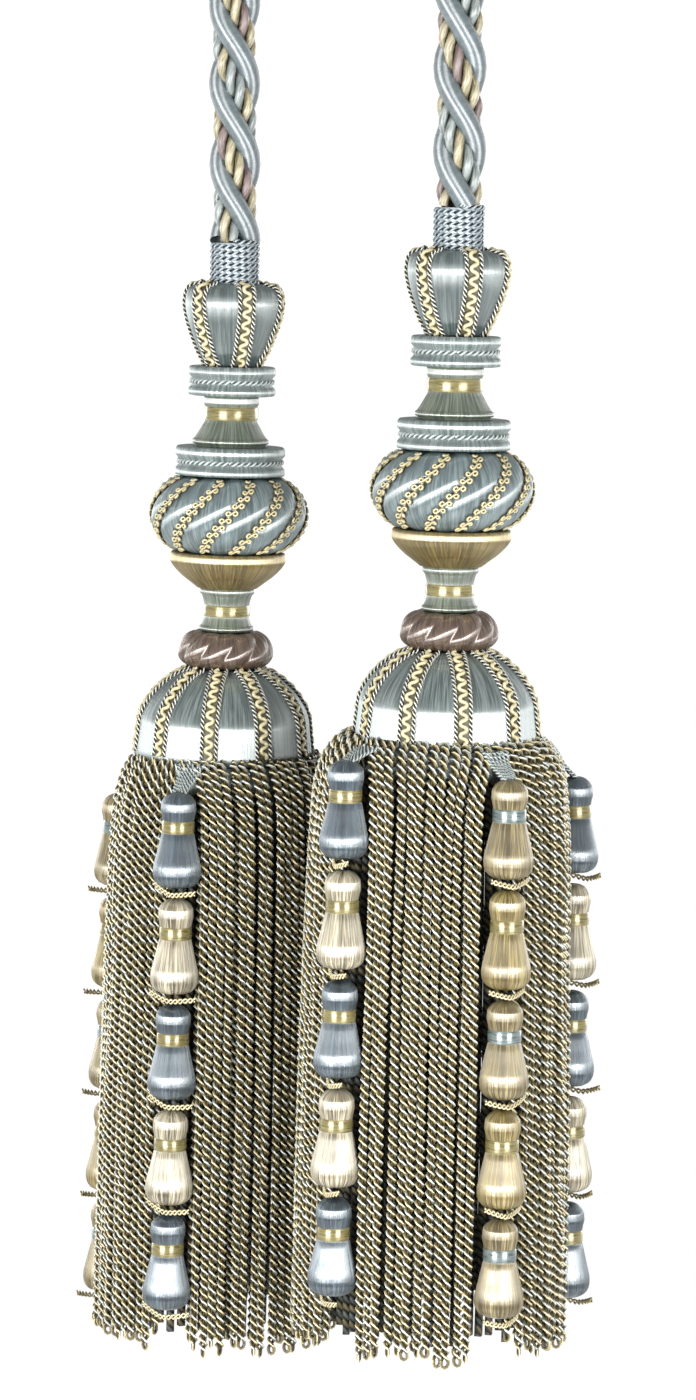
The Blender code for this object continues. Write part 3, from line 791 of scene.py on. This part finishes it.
# -------- head
def make_node(tassel, node, skin, ending="wound", shift=0.0):
    """The piece that stands for one node of the construction."""
    piece = skin.make(f"{tassel.side}_{node}_{ending}", tassel, shift)
    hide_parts(f"{tassel.side}_{node}")


def make_detail(tassel, name, skin):
    """A piece that is laid on a node and replaces none."""
    piece = skin.make(f"{tassel.side}_{name}", tassel)


def make_turned(tassel, name, profile, finish, sides=MOULD_SIDES, step=MOULD_STEP):
    skin = Skin((finish,))
    skin.add(turned(profile, sides, step), finish, caps=True, fibre_r=max(r for r, _ in profile))
    make_node(tassel, name, skin)


def make_collar(tassel):
    """A whipping of fine twisted cord, turn upon turn."""
    turns = (COLLAR_TOP - COLLAR_BOTTOM) / WHIPPING_PITCH
    count = int(turns * 2 * math.pi * COLLAR_R / WHIPPING_STEP)
    azimuth = np.linspace(0.0, 360.0 * turns, count)
    radius = COLLAR_R - WHIPPING_SUNK
    path = polar(radius, azimuth, np.linspace(COLLAR_TOP, COLLAR_BOTTOM, count))
    skin = Skin(("whipping",))
    two_ply(skin, path, polar(1.0, azimuth, 0.0), WHIPPING_R, WHIPPING_LAY, "whipping")
    core = tuple((radius + out, height) for out, height in COLLAR_CORE)
    skin.add(turned(core, COLLAR_SIDES, COLLAR_STEP), "whipping", 0.1, caps=True)
    make_node(tassel, "collar", skin, "whipped")


def make_lobed(tassel, name, form, finish):
    skin = Skin((finish,))
    rings = lobed_rings(form, LOBED_RINGS, LOBE_POINTS)
    skin.add(rings, finish, caps=True, fibre_r=form.centre_r + form.tube_r, upright=True)
    make_node(tassel, name, skin)


def make_trims(tassel, name, profile, first_azimuth, count):
    """Trims sewn on down a mould, evenly round it."""
    trims = Skin(("trim_pale", "trim_gold", "trim_tape"))
    for k in range(count):
        add_trim(trims, profile, first_azimuth + 360 * k / count)
    make_detail(tassel, name, trims)


def make_head(tassel):
    make_collar(tassel)
    make_turned(tassel, "bulb", BULB, "bulb_satin", MOULD_SIDES, LONG_STEP)
    make_turned(tassel, "disc_upper", DISC_UPPER, "disc_satin")
    make_turned(tassel, "neck_upper", NECK_UPPER, "sage_satin", NECK_SIDES)
    make_turned(tassel, "disc_lower", DISC_LOWER, "disc_satin")
    make_lobed(tassel, "bun", BUN, "bun_satin")
    make_turned(tassel, "saucer", SAUCER, "gold_satin")
    make_turned(tassel, "neck_lower", NECK_LOWER, "sage_satin", NECK_SIDES)
    make_lobed(tassel, "ring", RUCHED_RING, "mauve_satin")
    make_turned(tassel, "dome", DOME, "slate_satin", DOME_SIDES, LONG_STEP)
    make_trims(tassel, "bulb_trims", BULB[1:], BULB_TRIM_AZIMUTH, BULB_TRIMS)
    make_trims(tassel, "dome_trims", DOME[:-1], tassel.dome_trim, DOME_TRIMS)
    braids = Skin(("trim_gold",))
    for lobe in range(BUN.lobes):
        path, out = valley_line(BUN, lobe, BRAID_POINTS, BRAID_ABOVE)
        add_braid(braids, path, out, "trim_gold")
    make_detail(tassel, "bun_braids", braids)
    make_bands(tassel)


def make_bands(tassel):
    """Gold ribbon round both necks and a fine cord in the waist of each disc."""
    skin = Skin(("gold_ribbon", "waist_cord"))
    for band in (GOLD_BAND_UPPER, GOLD_BAND_LOWER):
        skin.add(turned(band, NECK_SIDES), "gold_ribbon", along_u=True)
    azimuth = np.linspace(0.0, 360.0, WAIST_POINTS)
    for radius, height in DISC_BRAIDS:
        path = polar(radius, azimuth, height)
        two_ply(skin, path, polar(1.0, azimuth, 0.0), WAIST_BRAID_R / 2, WAIST_PITCH, "waist_cord")
    make_detail(tassel, "bands", skin)


# -------- skirt
def cord_places(tassel, layer, chance):
    """Stations of each cord of a layer, spread between the spaces of two strings."""
    starts = tassel.string_columns
    ends = (*starts[1:], starts[0] + COLUMNS)
    for start, end in zip(starts, ends):
        azimuth = tassel.first_azimuth + start * COLUMN_DEG
        gap = (end - start) * COLUMN_DEG
        count = int((gap - 2 * layer.stations[-1][2]) * tassel.fullness / layer.pitch) + 1
        for i in range(count):
            share = (i + OUT_OF_PLACE * chance.uniform(-1, 1)) / (count - 1)
            share = min(max(share, 0.0), 1.0)
            stations = []
            for radius, height, space in layer.stations:
                bearing = azimuth + space + (gap - 2 * space) * share
                stations.append((radius, bearing, height))
            yield stations


def cord_line(tassel, root, stations, foot, chance, step):
    """The line of a cord from under the dome to its foot, a little astray from straight."""
    radius, bearing, height = (np.array(column, dtype=float) for column in zip(*stations))
    height[-1] = foot
    astray = np.linspace(*ASTRAY, len(radius))
    radius = radius * tassel.fullness + astray * chance.uniform(-ASTRAY_BY, ASTRAY_BY, len(radius))
    bearing = bearing + astray * chance.uniform(-ASTRAY_BY, ASTRAY_BY, len(radius))
    points = polar(radius, bearing, DOME_FOOT + height)
    start = polar(HEADING_R, bearing[0], DOME_FOOT + root)
    return smooth(np.vstack((start, points)), step), outward_at(float(bearing.mean()))


def add_bullion(skin, path, outward, sides, spin, pitch, shuffle, core):
    """One yarn doubled at the foot and twisted on itself: down one ply, round the end loop, up the other."""
    out = np.broadcast_to(outward, path.shape)
    down, away_down = coiled(path, out, PLY_CENTRE_R, pitch, spin, False)
    up, away_up = coiled(path, out, PLY_CENTRE_R, pitch, spin + 180, False)
    along = unit(path[-1] - path[-2])
    skin.add(tube(down, away_down, PLY_R, sides), "bullion_gold", shuffle)
    skin.add(tube(up, away_up, PLY_R, sides), "bullion_blue", shuffle)
    # a dark brown strand along the cord's axis: painted shade in the eyes between the plies
    if core:
        skin.add(tube(path[::EYE_SHADE_EVERY], out[::EYE_SHADE_EVERY], EYE_SHADE_R, 3), "bullion_core", shuffle, caps=True)
    around = np.radians(np.linspace(0.0, 180.0, LOOP_POINTS))[:, None]
    spoke = np.cos(around) * away_down[-1] + np.sin(around) * along
    swell = 1.0 + LOOP_SWELL * np.sin(around)
    wide = PLY_CENTRE_R * np.cos(around) * swell * away_down[-1]
    loop = path[-1] + wide + LOOP_DROP * np.sin(around) * along
    skin.add(tube(loop, spoke, PLY_R, sides), "bullion_gold", shuffle)


def make_skirt(tassel):
    chance = np.random.default_rng(SEED + len(tassel.side))
    for layer in (OUTER, SECOND):
        skin = Skin(("bullion_gold", "bullion_blue", "bullion_core"))
        for stations in cord_places(tassel, layer, chance):
            pitch = PLY_PITCH * chance.uniform(*PITCH_VARIES)
            foot = stations[-1][2] + chance.uniform(*FOOT_VARIES)
            path, outward = cord_line(tassel, layer.root, stations, foot, chance, pitch / layer.rings)
            spin = layer.spin + 360.0 / layer.rings * chance.integers(layer.rings)
            add_bullion(skin, path, outward, layer.sides, spin, pitch, chance.uniform(), layer is OUTER)
        piece = skin.make(f"{tassel.side}_skirt_{layer.name}", tassel, tassel.skirt_shift)
        if layer is OUTER:
            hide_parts(f"{tassel.side}_skirt")
    skin = Skin(("inner_cord", "slate_satin"))
    for k in range(INNER_CORDS):
        bearing = 360.0 * (k + INNER_OUT_OF_PLACE * chance.uniform(-1, 1)) / INNER_CORDS
        stations = [(radius, bearing, height) for radius, height in INNER_STATIONS]
        foot = stations[-1][2] + chance.uniform(*INNER_FOOT_VARIES)
        path, outward = cord_line(tassel, INNER_ROOT, stations, foot, chance, INNER_STEP)
        out = np.broadcast_to(outward, path.shape)
        skin.add(tube(path, out, INNER_R, 4), "inner_cord", chance.uniform(), caps=True)
    skin.add(turned(HEADING, HEADING_SIDES, 1.0), "slate_satin", 0.2, caps=True)
    piece = skin.make(f"{tassel.side}_skirt_inner", tassel, tassel.skirt_shift)


# -------- strings
def string_radius(tassel, height):
    return (STRING_TOP_R + (STRING_LOW_R - STRING_TOP_R) * -height / STRING_REACH) * tassel.fullness


def on_string(tassel, azimuth, rings, top):
    """Rings about an upright axis, moved to hang under a point of the string, which leans a little out."""
    slant = (STRING_LOW_R - STRING_TOP_R) * tassel.fullness / STRING_REACH
    shift = string_radius(tassel, top) - slant * rings[..., 2]
    out = outward_at(azimuth)
    moved = rings + shift[..., None] * out
    moved[..., 2] += DOME_FOOT + top
    return moved


def add_small_tassel(skin, tassel, azimuth, top, finish, shuffle):
    """A wound body and its ribbon. Its threads run from the crown to the base."""
    body = tuple((across, -below) for across, below in SMALL_TASSEL)
    skin.add(on_string(tassel, azimuth, turned(body, SMALL_SIDES), top), finish, shuffle)
    band = tuple((across, -below) for across, below in SMALL_BAND)
    rings = on_string(tassel, azimuth, turned(band, SMALL_BAND_SIDES), top)
    skin.add(rings, BANDS[finish], shuffle, along_u=True)


def add_tie(skin, tassel, azimuth, top, chance):
    """Two fine gold strands that cross again and again, and sag in a bow in front of the next crown."""
    side = polar(1.0, azimuth + 90.0 + TIE_TURN * math.sin(math.radians(azimuth)), 0.0)
    out = outward_at(azimuth)
    share = np.linspace(-1.0, 1.0, TIE_POINTS)
    across = TIE_HALF * chance.uniform(*TIE_LONGER) * share + chance.uniform(-TIE_ASIDE, TIE_ASIDE)
    first, last = TIE_LIFTS
    lift = np.where(share < 0.0, chance.uniform(*first), chance.uniform(*last))
    height = DOME_FOOT + top - TIE_BELOW - TIE_DROP + lift * np.abs(share) ** TIE_CURVE
    reach = string_radius(tassel, top - TIE_BELOW) + TIE_BOW * np.cos(share * math.pi / 2) + TIE_OUT
    turn = TIE_HALF * share * 2 * math.pi / TIE_WAVE
    outwards, upwards = TIE_CROSS
    for way in (-1.0, 1.0):
        path = (reach + outwards * way * np.cos(turn))[:, None] * out + across[:, None] * side
        path[:, 2] = height + upwards * way * np.sin(turn)
        skin.add(tube(path, np.broadcast_to(out, path.shape), TIE_R, 4), "tie_gold", 0.5)


def make_string(tassel, number, column, drop, chance):
    azimuth = tassel.first_azimuth + column * COLUMN_DEG
    kind = KINDS[STRING_KINDS[tassel.side][number - 1]]
    skin = Skin((*dict.fromkeys(kind), *dict.fromkeys(BANDS[finish] for finish in kind),
                 "tie_gold", "waist_cord"))
    for k, finish in enumerate(kind):
        top = -drop - k * STRING_PITCH
        add_small_tassel(skin, tassel, azimuth, top, finish, chance.uniform())
        add_tie(skin, tassel, azimuth, top, chance)
    top_r = string_radius(tassel, -drop)
    leaves = SHOULDER_CLEAR - drop
    rests = [(radius * tassel.fullness, height) for radius, height in SHOULDER if height > leaves]
    stations = np.array((HANGER_ROOT, *rests, (top_r, -drop - HANGER_END)))
    together = np.linspace(1.0, HANGER_MEET, len(stations))
    for spread in HANGER_SPREAD:
        aside = np.degrees(spread * together / stations[:, 0])
        path = smooth(polar(stations[:, 0], azimuth + aside, DOME_FOOT + stations[:, 1]), HANGER_STEP)
        two_ply(skin, path, outward_at(azimuth, len(path)), HANGER_R, HANGER_PITCH, "waist_cord", 3)
    make_node(tassel, f"string_{number}", skin, shift=tassel.skirt_shift)


def make_strings(tassel):
    chance = np.random.default_rng(SEED * 3 + len(tassel.side))
    for number, (column, drop) in enumerate(zip(tassel.string_columns, tassel.string_drops), 1):
        make_string(tassel, number, column, drop, chance)


# -------- camera, light and stage
def make_camera():
    camera = bpy.data.objects.new("camera", bpy.data.cameras.new("camera"))
    bpy.context.scene.collection.objects.link(camera)
    camera.location = [c * MM for c in CAMERA_PLACE]
    camera.rotation_euler = (math.radians(90.0 - CAMERA_PITCH), 0.0, 0.0)
    camera.data.sensor_width = SENSOR
    camera.data.lens = LENS
    camera.data.clip_start, camera.data.clip_end = CAMERA_CLIP
    bpy.context.scene.camera = camera


# azimuth, elevation and distance from the middle of the part, size in metres, watts
Lamp = namedtuple("Lamp", "name azimuth elevation distance width height watts")
LAMPS = (
    Lamp("lamp_left_high", -35.0, 5.0, 1.5, 0.8, 0.105, 13.9),
    Lamp("lamp_left_middle", -35.0, -1.0, 1.5, 0.8, 0.21, 11.1),
    Lamp("lamp_left_low", -35.0, -11.0, 1.5, 0.8, 0.31, 7.8),
    Lamp("lamp_right_high", 32.0, 5.0, 1.5, 0.8, 0.105, 11.4),
    Lamp("lamp_right_middle", 32.0, -1.0, 1.5, 0.8, 0.21, 9.1),
    Lamp("lamp_right_low", 32.0, -11.0, 1.5, 0.8, 0.31, 6.4),
    Lamp("lamp_back_left", -140.0, 8.0, 1.5, 0.8, 0.8, 9.0),
    Lamp("lamp_back_right", 140.0, 8.0, 1.5, 0.8, 0.8, 9.0),
)
STAGE_GLOW_FRONT = 0.15
STAGE_GLOW_BACK = 0.63
STAGE_GLOW_ALONG = (-0.5, 1.4)  # Y in metres where the glow starts to rise, and where it is full
MIDDLE = (0.0, 0.0, -0.25)
FLOOR = -1.15
WALL_AT = 5.2
WALL_TOP = 3.2
STAGE_CURVE = 1.2  # radius of the bend between floor and wall
STAGE_BENDS = 8
STAGE_SIDES = 96
WORLD_STRENGTH = 0.4
STAGE_EYE = 0.0001  # radius of the point where the floor's rings meet


def aim(lamp_object, target):
    direction = np.array(target) - np.array(lamp_object.location)
    level = math.hypot(direction[0], direction[1])
    lamp_object.rotation_euler = (math.atan2(level, -direction[2]), 0.0,
                                  math.atan2(direction[1], direction[0]) - math.pi / 2)


def make_lamp(lamp):
    data = bpy.data.lights.new(lamp.name, "AREA")
    data.shape = "RECTANGLE"
    data.size = lamp.width
    data.size_y = lamp.height
    data.energy = lamp.watts
    piece = bpy.data.objects.new(lamp.name, data)
    bpy.context.scene.collection.objects.link(piece)
    rise = math.radians(lamp.elevation)
    place = polar(math.cos(rise), lamp.azimuth, math.sin(rise))
    piece.location = np.array(MIDDLE) + lamp.distance * place
    piece.visible_camera = False
    aim(piece, MIDDLE)


def make_stage():
    """A round pale floor that curves up into a wall all the way round, far outside the camera's way."""
    curve = STAGE_CURVE
    profile = [(STAGE_EYE, FLOOR), (WALL_AT - curve, FLOOR)]
    for k in range(1, STAGE_BENDS + 1):
        bend = math.pi / 2 * k / STAGE_BENDS
        profile.append((WALL_AT - curve + curve * math.sin(bend), FLOOR + curve - curve * math.cos(bend)))
    profile.append((WALL_AT, WALL_TOP))
    skin = Skin(("pale_floor",))
    skin.add(turned(profile, STAGE_SIDES) / MM, "pale_floor")
    floor = skin.make("floor")
    floor.data.flip_normals()
    floor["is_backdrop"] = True


def light_world():
    world = bpy.data.worlds.new("studio")
    bpy.context.scene.world = world
    world.use_nodes = True
    background = world.node_tree.nodes["Background"]
    background.inputs["Color"].default_value = (1.0, 1.0, 1.0, 1.0)
    background.inputs["Strength"].default_value = WORLD_STRENGTH


def corners(box):
    return [list(corner) for corner in box]


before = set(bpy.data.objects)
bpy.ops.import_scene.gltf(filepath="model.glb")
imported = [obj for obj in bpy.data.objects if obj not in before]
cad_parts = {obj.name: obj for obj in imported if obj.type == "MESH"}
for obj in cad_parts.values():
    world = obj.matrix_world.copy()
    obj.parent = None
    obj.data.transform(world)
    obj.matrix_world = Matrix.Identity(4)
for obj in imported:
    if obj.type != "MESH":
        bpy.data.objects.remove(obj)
cad_box = corners(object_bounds())
MATERIALS = make_materials()
make_camera()
make_rope()
for tassel in TASSELS:
    make_head(tassel)
    make_skirt(tassel)
    make_strings(tassel)
make_stage()
for lamp in LAMPS:
    make_lamp(lamp)
light_world()
bpy.context.scene.view_settings.view_transform = "Standard"
{"cad": cad_box, "visual": corners(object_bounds())}
